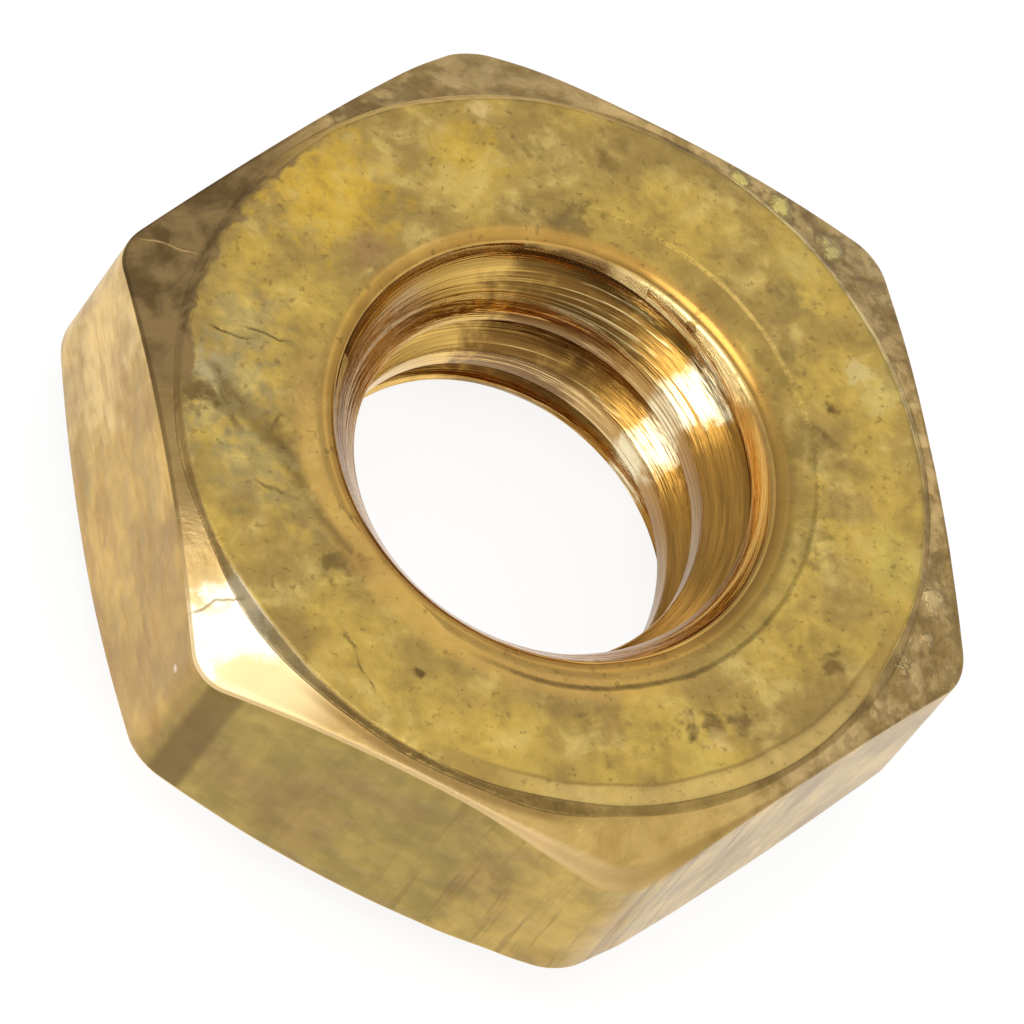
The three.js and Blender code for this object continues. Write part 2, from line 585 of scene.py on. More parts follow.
def stretched(tree, vector, scale):
    """A vector with each coordinate multiplied."""
    made = node(tree, "ShaderNodeVectorMath", {0: vector, 1: scale}, operation="MULTIPLY")
    return made.outputs[0]


def cloud(tree, vector, scale, detail=4.0, roughness=0.55, distortion=0.0):
    made = node(tree, "ShaderNodeTexNoise", {
        "Vector": vector, "Scale": scale, "Detail": detail,
        "Roughness": roughness, "Distortion": distortion})
    return made.outputs["Fac"]


def ramp(tree, value, low, high):
    """0 below low, 1 above high, smooth between."""
    made = node(tree, "ShaderNodeMapRange", {
        "Value": value, "From Min": low, "From Max": high}, interpolation_type="SMOOTHSTEP")
    return made.outputs["Result"]


def srgb(red, green, blue):
    """A colour from its 0 to 255 display values."""
    def linear(value):
        value /= 255
        return value / 12.92 if value <= 0.04045 else ((value + 0.055) / 1.055) ** 2.4
    return linear(red), linear(green), linear(blue)


def dot(tree, vector, way):
    made = node(tree, "ShaderNodeVectorMath", {0: vector, 1: way}, operation="DOT_PRODUCT")
    return made.outputs["Value"]


def compass(azimuth):
    """The horizontal direction at an azimuth in degrees."""
    return math.cos(math.radians(azimuth)), math.sin(math.radians(azimuth)), 0.0


class Coordinates:
    """Places, patterns and kinds of surface that the material reads. Millimetres."""

    def __init__(self, tree):
        place = node(tree, "ShaderNodeTexCoord").outputs["Object"]
        self.place = stretched(tree, place, (1 / MM,) * 3)
        flat_place = stretched(tree, self.place, (1, 1, 0))
        self.radius = node(tree, "ShaderNodeVectorMath", {0: flat_place},
                           operation="LENGTH").outputs["Value"]
        self.outward = node(tree, "ShaderNodeVectorMath", {0: flat_place},
                            operation="NORMALIZE").outputs["Vector"]
        self.along_axis = stretched(tree, self.place, (1, 1, ALONG_BAR))
        self.height = dot(tree, self.place, (0, 0, 1))
        self.broad = cloud(tree, self.place, 0.8, 2, 0.5)
        self.blotches = cloud(tree, self.place, 1.9, 4, 0.58, 0.3)
        self.ragged = cloud(tree, self.place, 4.5, 3, 0.55)
        cosine = attribute(tree, "thread_cosine")
        sine = attribute(tree, "thread_sine")
        around = node(tree, "ShaderNodeCombineXYZ", {0: cosine, 1: sine}).outputs[0]
        self.crest = cosine
        # Nearly constant along the thread, so noise that is read here makes lines that follow it
        self.helical = node(tree, "ShaderNodeVectorMath", {
            0: stretched(tree, around, (ACROSS_THREAD,) * 3),
            1: stretched(tree, self.place, (ALONG_THREAD,) * 3)}, operation="ADD").outputs[0]
        self.tool_marks = cloud(tree, self.helical, 3.0, 3, 0.65)
        self.face = attribute(tree, "face")
        self.bevel = attribute(tree, "bevel")
        self.flat = attribute(tree, "flat")
        self.bore = attribute(tree, "bore")
        self.edge = attribute(tree, "edge")
        self.polished = both(tree, self.face, ramp(tree, self.radius, 3.45, 3.3))


def away_from(tree, at, centre):
    """Distance in millimetres from a point."""
    made = node(tree, "ShaderNodeVectorMath", {0: at.place, 1: centre}, operation="DISTANCE")
    return made.outputs["Value"]


def on_top(azimuth, radius):
    """The point of the upper face or chamfer at an azimuth in degrees and radius in mm."""
    x, y, _ = compass(azimuth)
    drop = max(radius - UPPER_FACE_RADIUS / MM, 0) * math.tan(UPPER_CHAMFER)
    return x * radius, y * radius, THICKNESS / MM - drop


def sector(tree, at, azimuth, half_width, softness, raggedness=0.0):
    """1 within some degrees of an azimuth, fading to 0 outside."""
    closeness = dot(tree, at.outward, compass(azimuth))
    if raggedness:
        closeness = maths(tree, "MULTIPLY_ADD", at.blotches, raggedness, closeness)
        closeness = maths(tree, "SUBTRACT", closeness, raggedness / 2)
    outside = math.cos(math.radians(half_width + softness))
    inside = math.cos(math.radians(max(half_width - softness, 0)))
    return ramp(tree, closeness, outside, inside)


def spot(tree, at, centre, size):
    """1 inside a ragged spot round a point, 0 outside."""
    away = maths(tree, "MULTIPLY_ADD", at.ragged, 2 * size * SPOT_RAGGEDNESS,
                 away_from(tree, at, centre))
    away = maths(tree, "SUBTRACT", away, size * SPOT_RAGGEDNESS)
    return ramp(tree, away, size, size * SPOT_CORE)


def scratch(tree, at, azimuth, radius, heading, length, width):
    """1 on a slightly crooked line through a point of the top, running at a heading."""
    centre = on_top(azimuth, radius)
    along_way = compass(heading)
    across_way = compass(heading + 90)
    along = maths(tree, "SUBTRACT", dot(tree, at.place, along_way),
                  sum(a * b for a, b in zip(centre, along_way)))
    across = maths(tree, "SUBTRACT", dot(tree, at.place, across_way),
                   sum(a * b for a, b in zip(centre, across_way)))
    across = maths(tree, "MULTIPLY_ADD", at.broad, SCRATCH_BEND, across)
    across = maths(tree, "MULTIPLY_ADD", at.ragged, SCRATCH_FRAYING, across)
    across = maths(tree, "SUBTRACT", across, (SCRATCH_BEND + SCRATCH_FRAYING) / 2)
    line = ramp(tree, maths(tree, "ABSOLUTE", across), width, 0.0)
    return both(tree, line, ramp(tree, maths(tree, "ABSOLUTE", along), length / 2, length / 4))


def mix_values(tree, factor, first, second):
    """A number between two numbers: the first where the factor is 0, the second where 1."""
    inputs = {MIX_FACTOR: factor, MIX_FIRST_VALUE: first, MIX_SECOND_VALUE: second}
    return node(tree, "ShaderNodeMix", inputs, data_type="FLOAT").outputs[MIXED_VALUE]


def both(tree, *masks):
    result = masks[0]
    for mask in masks[1:]:
        result = maths(tree, "MULTIPLY", result, mask)
    return result


def shaded(tree, colour, mask, amount, tint):
    """The colour with a tint laid over it where the mask is 1."""
    return mix(tree, both(tree, mask, amount), colour, tint)


def darkened(tree, colour, pattern, darkest, lightest):
    """The colour multiplied by a grey that goes with a 0 to 1 pattern."""
    grey = maths(tree, "MULTIPLY_ADD", pattern, lightest - darkest, darkest)
    combined = node(tree, "ShaderNodeCombineColor", {0: grey, 1: grey, 2: grey}).outputs[0]
    return mix(tree, 1.0, colour, combined, "MULTIPLY")


# Stains on the upper face: azimuth, radius and size in degrees and mm, strength and colour
FACE_STAINS = (
    (124, 4.6, 1.2, 0.8, (210, 170, 66)),
    (170, 4.8, 1.0, 0.75, (164, 148, 104)),
    (-177, 4.4, 0.8, 0.6, (160, 144, 98)),
    (0, 3.62, 0.5, 0.6, (130, 110, 62)),
    (-22, 3.64, 0.5, 0.6, (130, 110, 62)),
    (18, 3.64, 0.45, 0.5, (134, 114, 66)),
    (96, 4.5, 0.7, 0.6, (208, 172, 70)),
    (143, 4.85, 0.5, 0.6, (208, 174, 78)),
    (-112, 4.6, 0.8, 0.6, (206, 172, 84)),
    (-140, 4.9, 0.5, 0.5, (196, 162, 82)),
    (-20, 4.9, 0.7, 0.5, (206, 188, 98)),
    (-75, 4.75, 0.5, 0.5, (206, 180, 92)),
    (127, 3.68, 0.42, 0.7, (160, 124, 84)),
    (156, 4.5, 0.7, 0.6, (168, 150, 102)),
    (172, 4.6, 0.5, 0.7, (146, 126, 76)),
    (178, 4.0, 0.3, 0.7, (126, 102, 54)),
    (-165, 3.9, 0.5, 0.5, (160, 140, 92)),
    (-153, 3.9, 0.32, 0.8, (112, 90, 52)),
    (-128, 4.25, 0.11, 0.9, (92, 68, 38)),
    (-75, 4.26, 0.24, 0.9, (108, 86, 50)),
    (-70, 4.33, 0.24, 0.8, (114, 92, 54)),
    (-65, 4.42, 0.22, 0.8, (122, 98, 60)),
    (-71, 4.62, 0.24, 0.6, (222, 192, 124)),
    (-44, 4.65, 0.22, 0.8, (116, 92, 50)),
    (-90, 4.15, 0.4, 0.5, (158, 128, 76)),
    (-12, 4.2, 0.45, 0.5, (158, 132, 82)),
    (84, 4.5, 0.25, 0.7, (126, 102, 56)),
    (70, 4.54, 0.22, 0.7, (130, 106, 56)),
    (75, 3.45, 0.42, 0.8, (112, 94, 60)),
    (8, 4.15, 0.15, 0.9, (96, 74, 40)),
    (3, 3.95, 0.12, 0.8, (110, 86, 48)),
    (31, 4.45, 0.4, 0.6, (146, 128, 78)),
    (14, 4.8, 0.28, 0.7, (216, 194, 130)),
    (92, 5.08, 0.25, 0.7, (222, 192, 130)),
    (167, 4.95, 0.35, 0.7, (184, 168, 124)),
    (171, 5.1, 0.4, 0.9, (116, 92, 52)),
    (10, 5.0, 0.45, 0.6, (214, 196, 120)),
    (35, 5.0, 0.4, 0.5, (206, 184, 108)),
)
# Dark cracks on the upper face: azimuth, radius, heading, length and width
FACE_CRACKS = (
    (169, 4.58, -49, 1.2, 0.13), (-179, 3.94, -70, 1.8, 0.16), (-160, 3.69, -67, 1.8, 0.17),
    (172, 4.5, -67, 0.9, 0.1), (-171, 4.18, -26, 0.8, 0.06), (159, 4.67, -5, 0.8, 0.05),
    (156, 4.2, -25, 0.9, 0.04), (-138, 4.74, 107, 1.2, 0.04), (176, 4.1, 38, 0.7, 0.05),
)
# Blotches on the upper chamfer, in the same way as the face's stains
CHAMFER_STAINS = (
    (50, 5.42, 0.3, 0.8, (112, 90, 54)), (43, 5.52, 0.34, 0.8, (112, 90, 54)),
    (34, 5.66, 0.34, 0.7, (120, 98, 60)), (101, 5.6, 0.5, 0.7, (136, 110, 68)),
    (111, 5.5, 0.5, 0.8, (124, 100, 62)),
    (-44, 5.36, 0.2, 0.7, (128, 102, 56)), (-16, 5.6, 0.2, 0.7, (136, 110, 68)),
)
# Pale lumps of corrosion on the upper chamfer: azimuth, radius, size and colour
CHAMFER_LUMPS = (
    (50, 5.42, 0.2, (222, 202, 120)), (43, 5.52, 0.24, (222, 202, 122)),
    (34, 5.66, 0.24, (214, 194, 122)), (38, 5.6, 0.12, (204, 182, 112)),
    (-35, 5.45, 0.2, (206, 178, 128)), (-23, 5.56, 0.24, (216, 190, 132)),
    (-29, 5.66, 0.16, (208, 180, 126)),
)
LUMP_STRENGTH = 0.95
# A small bright mark on the flat at azimuth 180, in colour only: its place in mm
BRIGHT_MARK = (-5.5, -2.75, 2.9)
# Tints of whole sectors, each laid over the one before: azimuth, half width and softness in
# degrees, raggedness, strength and colour
FLAT_TINTS = (
    (-94, 9, 7, 0.06, 0.65, (200, 168, 92)),
    (157, 6, 7, 0.1, 0.5, (232, 204, 146)),
)
# Painted highlight on the lower-left chamfer: a pale band where the highlight fades, and a cream
# halo round it
CHAMFER_HIGHLIGHT_TINTS = (
    (-135, 30, 8, 0.0, 0.8, (196, 162, 102)),
    (-148, 8, 7, 0.0, 0.8, (234, 212, 160)),
)
BORE_TINTS = (
    (126, 44, 14, 0.0, 0.85, (255, 208, 112)),
    (-18, 30, 12, 0.0, 0.75, (130, 92, 40)),
    (-60, 18, 12, 0.0, 0.8, (220, 164, 80)),
)
# Colour of each wrench flat by its azimuth
FLAT_COLOURS = {
    0: (196, 166, 106), 60: (178, 154, 92), 120: (186, 158, 100),
    180: (204, 168, 94), 240: (168, 144, 78), 300: (206, 180, 132),
}


def with_spots(tree, at, colour, stains):
    """The colour with a table of round stains laid over it."""
    for azimuth, radius, size, strength, tint in stains:
        mask = spot(tree, at, on_top(azimuth, radius), size)
        colour = shaded(tree, colour, mask, strength, srgb(*tint))
    return colour


def with_sectors(tree, at, colour, tints):
    """The colour with a table of sectors laid over it."""
    for azimuth, half_width, softness, raggedness, strength, tint in tints:
        mask = sector(tree, at, azimuth, half_width, softness, raggedness)
        colour = shaded(tree, colour, mask, strength, srgb(*tint))
    return colour


def recess(tree, at):
    """1 inside the shallow recess round the mouth, 0 outside; it is a little off centre."""
    away = away_from(tree, at, on_top(*RECESS_CENTRE))
    away = maths(tree, "MULTIPLY_ADD", at.broad, 0.1, away)
    inside = ramp(tree, away, RECESS_RADIUS, RECESS_FLOOR_RADIUS)
    return both(tree, inside, sector(tree, at, -15, 100, 18))


def outer_step(tree, at, softness):
    """1 outside the off-centre circle where the facing cut ends, 0 inside."""
    away = away_from(tree, at, on_top(*STEP_CENTRE))
    away = maths(tree, "MULTIPLY_ADD", at.blotches, 0.1, away)
    outside = ramp(tree, away, STEP_RADIUS, STEP_RADIUS + softness)
    return both(tree, outside, sector(tree, at, -76, 36, 12))


def corner_stain(tree, at):
    """1 on the dark stain that covers the chamfer at one corner and laps over the rim."""
    reach = maths(tree, "MULTIPLY_ADD", at.blotches, 0.8, at.radius)
    over_rim = ramp(tree, reach, 5.56, 5.66)
    return both(tree, over_rim, sector(tree, at, 147, 24, 8, 0.2))


def stain_colour(tree, at):
    return mix(tree, ramp(tree, at.blotches, 0.35, 0.65), srgb(110, 88, 56), srgb(156, 130, 86))


def face_cracks(tree, at):
    """1 on the upper face's cracks, which break off and start again."""
    cracks = 0.0
    for crack in FACE_CRACKS:
        cracks = maths(tree, "MAXIMUM", cracks, scratch(tree, at, *crack))
    return both(tree, cracks, ramp(tree, at.ragged, 0.3, 0.56))


def face_colour(tree, at):
    colour = mix(tree, ramp(tree, at.broad, 0.36, 0.64), srgb(160, 134, 76), srgb(190, 160, 80))
    colour = with_spots(tree, at, colour, FACE_STAINS)
    pale = ramp(tree, at.blotches, 0.5, 0.72)
    colour = shaded(tree, colour, pale, 0.55, srgb(218, 192, 114))
    grey = ramp(tree, at.blotches, 0.52, 0.28)
    colour = shaded(tree, colour, grey, 0.48, srgb(128, 104, 60))
    colour = darkened(tree, colour, at.ragged, 0.66, 1.24)
    colour = shaded(tree, colour, recess(tree, at), 0.35, srgb(144, 118, 64))
    colour = with_lip(tree, at, colour)
    colour = with_crescent(tree, at, colour)
    colour = shaded(tree, colour, face_cracks(tree, at), 0.7, srgb(112, 90, 52))
    specks = ramp(tree, cloud(tree, at.place, 8, 2, 0.6), 0.6, 0.72)
    colour = shaded(tree, colour, specks, 0.45, srgb(112, 90, 50))
    return mix(tree, both(tree, corner_stain(tree, at), 0.92), colour, stain_colour(tree, at))


def with_lip(tree, at, colour):
    """The face's colour with the golden and brown parts round the mouth laid over it."""
    gold = both(tree, ramp(tree, at.radius, 3.85, 3.6), sector(tree, at, -135, 60, 20, 0.2))
    colour = shaded(tree, colour, gold, 0.5, srgb(206, 162, 88))
    lip = ramp(tree, at.radius, 3.42, 3.2)
    lip_colour = mix(tree, at.blotches, srgb(180, 130, 58), srgb(224, 176, 90))
    colour = mix(tree, both(tree, lip, 0.8), colour, lip_colour)
    brown = both(tree, brown_lip_and_sheen(tree, at), ramp(tree, at.radius, 3.5, 3.3))
    return shaded(tree, colour, brown, 0.6, srgb(124, 100, 52))


def with_crescent(tree, at, colour):
    """The face's colour with the pale crescent past the step and its dark edge laid over it."""
    crescent = outer_step(tree, at, 0.1)
    colour = shaded(tree, colour, crescent, 0.4, srgb(214, 184, 116))
    crescent_edge = both(tree, crescent, inverse(tree, crescent))
    return shaded(tree, colour, crescent_edge, 2.0, srgb(128, 100, 54))


def flat_colour(tree, at):
    apothem = ACROSS_FLATS / 2 / MM
    colour = srgb(*FLAT_COLOURS[0])
    for azimuth, tint in FLAT_COLOURS.items():
        on_flat = ramp(tree, dot(tree, at.place, compass(azimuth)), apothem - 0.2, apothem - 0.04)
        colour = mix(tree, on_flat, colour, srgb(*tint))
    colour = with_sectors(tree, at, colour, FLAT_TINTS)
    rosy = ramp(tree, at.broad, 0.5, 0.62)
    colour = shaded(tree, colour, rosy, 0.25, srgb(178, 138, 92))
    colour = darkened(tree, colour, ramp(tree, at.broad, 0.36, 0.6), 1.1, 0.92)
    colour = darkened(tree, colour, ramp(tree, at.blotches, 0.32, 0.68), 0.84, 1.12)
    colour = darkened(tree, colour, at.ragged, 0.9, 1.1)
    colour = with_draw_lines(tree, at, colour)
    brown = sector(tree, at, -146.6, 2.0, 0.6)
    colour = shaded(tree, colour, brown, 0.7, srgb(116, 90, 48))
    mark = ramp(tree, away_from(tree, at, BRIGHT_MARK), 0.1, 0.04)
    return shaded(tree, colour, mark, 0.9, srgb(250, 225, 205))


def with_draw_lines(tree, at, colour):
    """The flats' colour with lines along the bar on some flats and across it on the rest."""
    drawn = sector(tree, at, -90, 58, 4)
    lines = cloud(tree, at.along_axis, 4.2, 4, 0.7)
    colour = darkened(tree, colour, mix_values(tree, drawn, 0.5, lines), 0.8, 1.2)
    streaked = sector(tree, at, -84, 32, 8, 0.1)
    streaks = both(tree, ramp(tree, lines, 0.5, 0.65), streaked)
    colour = shaded(tree, colour, streaks, 0.42, srgb(114, 88, 50))
    sideways = cloud(tree, stretched(tree, at.place, (1, 0.35, 1.4)), 2.6, 3, 0.6)
    sideways = both(tree, ramp(tree, sideways, 0.5, 0.62), inverse(tree, drawn))
    return shaded(tree, colour, sideways, 0.35, srgb(170, 124, 66))


def chamfer_colour(tree, at):
    colour = mix(tree, ramp(tree, at.blotches, 0.36, 0.62), srgb(156, 128, 78),
                 srgb(196, 168, 114))
    colour = darkened(tree, colour, at.ragged, 0.82, 1.18)
    brown = sector(tree, at, 178, 10, 6, 0.1)
    colour = shaded(tree, colour, brown, 0.7, srgb(132, 106, 60))
    far = sector(tree, at, 5, 58, 20, 0.2)
    dark = ramp(tree, at.ragged, 0.52, 0.42)
    colour = shaded(tree, colour, both(tree, far, dark), 0.45, srgb(128, 102, 62))
    ochre = sector(tree, at, -92, 20, 10, 0.1)
    ochre_colour = mix(tree, at.blotches, srgb(176, 140, 74), srgb(216, 184, 106))
    colour = mix(tree, both(tree, ochre, 0.8), colour, ochre_colour)
    colour = mix(tree, both(tree, corner_stain(tree, at), 0.92), colour,
                 stain_colour(tree, at))
    colour = with_spots(tree, at, colour, CHAMFER_STAINS)
    lumps = [(azimuth, radius, size, LUMP_STRENGTH, tint)
             for azimuth, radius, size, tint in CHAMFER_LUMPS]
    colour = with_spots(tree, at, colour, lumps)
    colour = with_sectors(tree, at, colour, CHAMFER_HIGHLIGHT_TINTS)
    return with_chamfer_marks_and_highlight(tree, at, colour)


def with_chamfer_marks_and_highlight(tree, at, colour):
    """The chamfer's colour with the painted highlight by one of its corners and its fine lines
    laid over it.
    """
    beside_rim = both(tree, sector(tree, at, -118, 20, 6), ramp(tree, at.radius, 5.56, 5.44))
    colour = shaded(tree, colour, beside_rim, 0.75, srgb(142, 112, 62))
    # Painted highlight: the chamfer is coloured near-white where the key light's reflection falls
    chamfer_painted_highlight = sector(tree, at, -154, 4.5, 2.5, 0.03)
    colour = shaded(tree, colour, chamfer_painted_highlight, 0.95, srgb(255, 244, 214))
    crossing = scratch(tree, at, -157, 5.65, -6, 0.9, 0.035)
    colour = shaded(tree, colour, crossing, 0.75, srgb(120, 92, 50))
    pale_line = scratch(tree, at, 149, 5.8, -20, 0.9, 0.025)
    return shaded(tree, colour, pale_line, 0.7, srgb(216, 184, 124))


def chamfer_lumps(tree, at):
    """1 on the lumps of corrosion on the upper chamfer."""
    lumps = 0.0
    for azimuth, radius, size, _ in CHAMFER_LUMPS:
        lumps = maths(tree, "MAXIMUM", lumps, spot(tree, at, on_top(azimuth, radius), size))
    return lumps


def brown_lip_and_sheen(tree, at):
    """1 on the sector of the hole's lip that is coloured brown at the top, with a painted golden
    sheen on the collar below.
    """
    return sector(tree, at, -22, 36, 10, 0.05)


def bore_colour(tree, at):
    colour = mix(tree, ramp(tree, at.crest, 0.1, 0.85), srgb(208, 164, 84),
                 srgb(232, 192, 122))
    colour = with_sectors(tree, at, colour, BORE_TINTS)
    colour = with_pale_patch(tree, at, colour)
    near_side = sector(tree, at, -133, 58, 10)
    colour = shaded(tree, colour, near_side, 0.55, srgb(202, 142, 70))
    colour = with_streaks_and_painted_highlights(tree, at, colour)
    return with_collar(tree, at, colour)


def with_pale_patch(tree, at, colour):
    """The hole's colour with the pale, speckled patch high on its wall laid over it."""
    depth = both(tree, ramp(tree, at.height, 3.05, 3.2), ramp(tree, at.height, 3.7, 3.55))
    pale = both(tree, sector(tree, at, 146, 26, 8), depth)
    colour = shaded(tree, colour, pale, 0.75, srgb(255, 224, 176))
    specks = both(tree, pale, ramp(tree, cloud(tree, at.place, 9, 2, 0.6), 0.56, 0.68))
    return shaded(tree, colour, specks, 0.25, srgb(160, 114, 64))


def with_streaks_and_painted_highlights(tree, at, colour):
    """The hole's colour with dark streaks along the thread, and bright ones that are painted
    highlights, laid over it.
    """
    lines = at.tool_marks
    colour = darkened(tree, colour, ramp(tree, lines, 0.3, 0.7), 0.7, 1.12)
    brown = both(tree, sector(tree, at, 70, 20, 8, 0.3), ramp(tree, lines, 0.75, 0.5))
    colour = shaded(tree, colour, brown, 0.85, srgb(110, 74, 34))
    beside = sector(tree, at, 26, 24, 8, 0.1)
    colour = shaded(tree, colour, beside, 0.6, srgb(160, 114, 50))
    # Painted highlight: a column of near-white streaks on the hole's wall
    column = sector(tree, at, 25, 6, 4, 0.04)
    streaks = ramp(tree, lines, 0.35, 0.5)
    colour = shaded(tree, colour, both(tree, column, streaks), 0.9, srgb(255, 240, 196))
    # Painted highlight: bright dashes along the thread's edges
    highlight_dashes = both(tree, sector(tree, at, 56, 18, 6, 0.25), ramp(tree, lines, 0.56, 0.64))
    return shaded(tree, colour, highlight_dashes, 0.85, srgb(250, 225, 160))


def with_collar(tree, at, colour):
    """The hole's colour with a painted sheen on the collar, the brown lip above it and a painted
    glint under it laid over it.
    """
    # Painted reflection: the collar is coloured bright gold to stand in for a sheen
    collar = both(tree, brown_lip_and_sheen(tree, at), ramp(tree, at.height, 3.5, 3.6))
    colour = shaded(tree, colour, collar, 0.9, srgb(255, 204, 112))
    above = both(tree, brown_lip_and_sheen(tree, at), ramp(tree, at.height, 3.76, 3.86))
    colour = shaded(tree, colour, above, 0.85, srgb(124, 92, 44))
    # Painted highlight: the glint on the countersink under the lip, which the low softboxes also
    # light
    glint = both(tree, sector(tree, at, 39, 24, 3), ramp(tree, at.height, 3.6, 3.7))
    colour = shaded(tree, colour, glint, 0.9, srgb(255, 224, 152))
    # Painted shade: a darker break across the painted glint
    gap = both(tree, glint, sector(tree, at, 38, 0.6, 1.2, 0.02))
    return shaded(tree, colour, gap, 0.8, srgb(140, 98, 44))


def surface_height(tree, at):
    """Fine relief in mm: skin, the recess and step, cracks, lumps, draw lines and tool marks."""
    smooth = maths(tree, "MAXIMUM", at.polished, sector(tree, at, -147, 14, 6))
    rough = inverse(tree, maths(tree, "MAXIMUM", at.bore, smooth))
    skin = cloud(tree, at.place, 5.5, 3, 0.5)
    lines = cloud(tree, at.along_axis, 7.0, 4, 0.7)
    on_chamfer = inverse(tree, maths(tree, "MAXIMUM", at.face, at.flat))
    layers = (
        (both(tree, rough, at.blotches), BLOTCH_RELIEF),
        (both(tree, at.face, recess(tree, at)), -RECESS_DEPTH),
        (both(tree, at.face, outer_step(tree, at, 0.16)), -STEP_DEPTH),
        (both(tree, at.face, face_cracks(tree, at)), -CRACK_DEPTH),
        (both(tree, on_chamfer, chamfer_lumps(tree, at)), LUMP_HEIGHT),
        (both(tree, at.bevel, at.ragged), RIM_RELIEF),
        (both(tree, at.flat, lines), DRAW_LINE_RELIEF),
        (both(tree, at.bore, at.tool_marks), TOOL_MARK_RELIEF),
    )
    height = maths(tree, "MULTIPLY", both(tree, rough, skin), SKIN_RELIEF)
    for mask, depth in layers:
        height = maths(tree, "MULTIPLY_ADD", mask, depth, height)
    return height


def with_rim(tree, at, colour, stained):
    """The colour with the narrow bevel round the upper face, and painted highlights on the bevel,
    laid over it.
    """
    rim = both(tree, at.bevel, maths(tree, "MULTIPLY_ADD", stained, -0.6, 0.6))
    rim_colour = mix(tree, ramp(tree, at.blotches, 0.3, 0.7), srgb(132, 106, 60),
                     srgb(182, 150, 86))
    colour = mix(tree, rim, colour, rim_colour)
    # Painted highlight: a cream line along the bevel on the far side
    far_rim_painted_highlight = both(tree, at.bevel, sector(tree, at, 96, 26, 14, 0.1))
    colour = shaded(tree, colour, far_rim_painted_highlight, 0.8, srgb(210, 176, 100))
    # Painted highlight: a broken near-white line along the bevel on the right-hand side
    rim_painted_highlight = both(tree, at.bevel, sector(tree, at, 26, 24, 8, 0.1),
                  ramp(tree, at.blotches, 0.3, 0.6))
    return shaded(tree, colour, rim_painted_highlight, 0.7, srgb(250, 228, 160))


def nut_colour(tree, at, stained):
    colour = chamfer_colour(tree, at)
    colour = mix(tree, at.face, colour, face_colour(tree, at))
    colour = mix(tree, at.flat, colour, flat_colour(tree, at))
    colour = mix(tree, at.bore, colour, bore_colour(tree, at))
    colour = with_rim(tree, at, colour, stained)
    # Pale gold on the rounded edges by the lower-left chamfers: partly polished wear, partly a
    # painted highlight
    edge_wear_and_highlight = both(tree, at.edge, sector(tree, at, -127, 32, 14))
    return shaded(tree, colour, edge_wear_and_highlight, 0.8, srgb(255, 224, 166))


def nut_roughness(tree, at, stained):
    matt = both(tree, stained, inverse(tree, at.flat))
    additions = (
        (at.bore, BORE_ROUGHNESS),
        (at.polished, LIP_ROUGHNESS),
        (at.edge, EDGE_ROUGHNESS),
        (matt, STAIN_ROUGHNESS),
    )
    roughness = maths(tree, "MULTIPLY_ADD", at.blotches, BLOTCH_ROUGHNESS, PLAIN_ROUGHNESS)
    for mask, added in additions:
        roughness = maths(tree, "MULTIPLY_ADD", mask, added, roughness)
    return roughness


def brass_material():
    material = bpy.data.materials.new("tarnished_brass")
    material.use_nodes = True
    tree = material.node_tree
    tree.nodes.clear()
    at = Coordinates(tree)
    stained = corner_stain(tree, at)
    relief = surface_height(tree, at)
    bump = node(tree, "ShaderNodeBump", {"Height": relief, "Strength": 1.0, "Distance": MM})
    shader = node(tree, "ShaderNodeBsdfPrincipled", {
        "Base Color": nut_colour(tree, at, stained),
        "Metallic": 1.0,
        "Roughness": nut_roughness(tree, at, stained),
        "Normal": bump.outputs[0],
    })
    output = node(tree, "ShaderNodeOutputMaterial")
    tree.links.new(shader.outputs[0], output.inputs["Surface"])
    return material


# ---------------------------------------------------------------- studio

def direction(azimuth, elevation):
    flat = math.cos(elevation)
    return Vector((flat * math.cos(azimuth), flat * math.sin(azimuth), math.sin(elevation)))


def add_camera():
    towards = direction(CAMERA_AZIMUTH, CAMERA_ELEVATION)
    upright = (-towards).to_track_quat("-Z", "Y").to_matrix()
    turned = upright @ Matrix.Rotation(CAMERA_ROLL, 3, "Z")
    right, up = turned.col[0], turned.col[1]
    data = bpy.data.cameras.new("camera")
    data.lens = CAMERA_LENS
    data.sensor_width = SENSOR_WIDTH
    data.clip_start = CAMERA_DISTANCE / 100
    data.clip_end = CAMERA_DISTANCE * 100
    camera = bpy.data.objects.new("camera", data)
    camera.matrix_world = turned.to_4x4()
    camera.location = towards * CAMERA_DISTANCE + right * AIM_RIGHT + up * AIM_UP
    bpy.context.collection.objects.link(camera)
    bpy.context.scene.camera = camera


def add_softbox(name, azimuth, elevation, width, height, brightness):
    """An oval light in a direction, as wide and high as two angles. All in degrees."""
    data = bpy.data.lights.new(name, "AREA")
    data.shape = "ELLIPSE"
    data.size = 2 * LIGHT_DISTANCE * math.tan(math.radians(width) / 2)
    data.size_y = 2 * LIGHT_DISTANCE * math.tan(math.radians(height) / 2)
    data.energy = brightness * math.pi * (math.pi * data.size * data.size_y / 4)
    light = bpy.data.objects.new(name, data)
    towards = direction(math.radians(azimuth), math.radians(elevation))
    light.location = MIDDLE + towards * LIGHT_DISTANCE
    light.rotation_mode = "QUATERNION"
    light.rotation_quaternion = towards.to_track_quat("Z", "Y")
    light.visible_camera = False
    bpy.context.collection.objects.link(light)


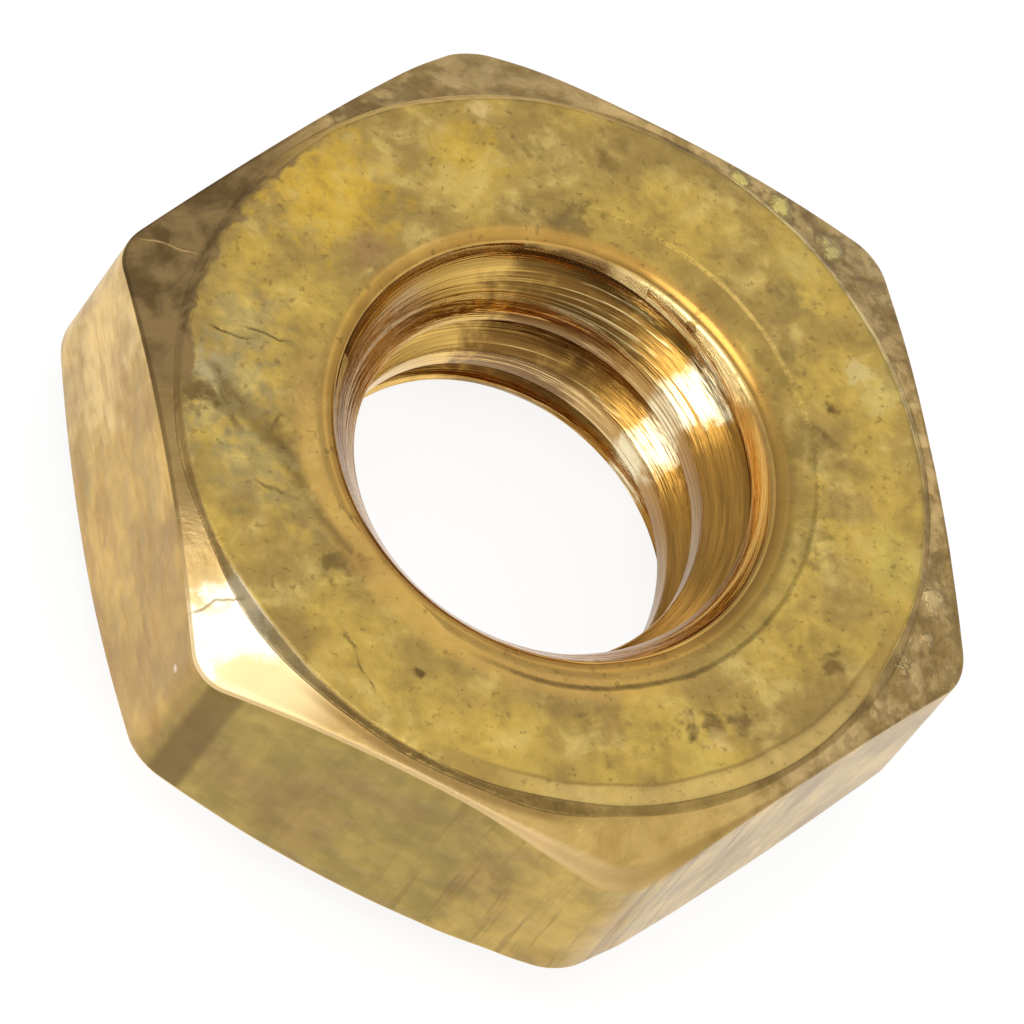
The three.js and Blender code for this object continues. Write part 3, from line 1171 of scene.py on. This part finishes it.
def add_world():
    """A pale surround, brighter overhead, with a dark part below the camera."""
    azimuth, elevation, start, darkest = (math.radians(value) for value in DARK_PART)
    world = bpy.data.worlds.new("studio")
    world.use_nodes = True
    tree = world.node_tree
    tree.nodes.clear()
    towards = node(tree, "ShaderNodeTexCoord").outputs["Generated"]
    sky = ramp(tree, dot(tree, towards, (0, 0, 1)), 0.25, 1.0)
    closeness = dot(tree, towards, tuple(direction(azimuth, elevation)))
    shade = ramp(tree, closeness, math.cos(start), math.cos(darkest))
    strength = maths(tree, "MULTIPLY_ADD", sky, OVERHEAD_GAIN, SURROUND_STRENGTH)
    strength = maths(tree, "MULTIPLY_ADD", shade, -DARK_PART_LOSS, strength)
    backdrop = (BACKDROP_GREY,) * 3 + (1,)
    seen = node(tree, "ShaderNodeBackground", {"Color": backdrop, "Strength": 1.0})
    lit = node(tree, "ShaderNodeBackground", {"Color": (1, 1, 1, 1), "Strength": strength})
    path = node(tree, "ShaderNodeLightPath")
    chosen = node(tree, "ShaderNodeMixShader", {
        0: path.outputs["Is Camera Ray"], 1: lit.outputs[0], 2: seen.outputs[0]})
    output = node(tree, "ShaderNodeOutputWorld")
    tree.links.new(chosen.outputs[0], output.inputs["Surface"])
    bpy.context.scene.world = world


def add_floor():
    """A plain pale floor that glows, so that it is as bright as the surround."""
    mesh = bpy.data.meshes.new("floor")
    corners = [(-1, -1), (1, -1), (1, 1), (-1, 1)]
    places = [(x * FLOOR_HALF, y * FLOOR_HALF, FLOOR_LEVEL) for x, y in corners]
    mesh.from_pydata(places, [], [(0, 1, 2, 3)])
    floor = bpy.data.objects.new("floor", mesh)
    bpy.context.collection.objects.link(floor)
    material = bpy.data.materials.new("pale_floor")
    material.use_nodes = True
    shader = material.node_tree.nodes["Principled BSDF"]
    shader.inputs["Base Color"].default_value = (FLOOR_GREY,) * 3 + (1,)
    shader.inputs["Roughness"].default_value = FLOOR_ROUGHNESS
    shader.inputs["Emission Color"].default_value = (1, 1, 1, 1)
    shader.inputs["Emission Strength"].default_value = FLOOR_GLOW
    mesh.materials.append(material)


def set_display():
    view = bpy.context.scene.view_settings
    view.view_transform = "Standard"
    view.look = "None"
    view.exposure = 0.0
    view.gamma = 1.0


set_display()
add_camera()
add_world()
add_floor()
for softbox in SOFTBOXES:
    add_softbox(*softbox)

nut = build_nut()
nut.data.materials.append(brass_material())
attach(nut, BODY)
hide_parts(NODE)
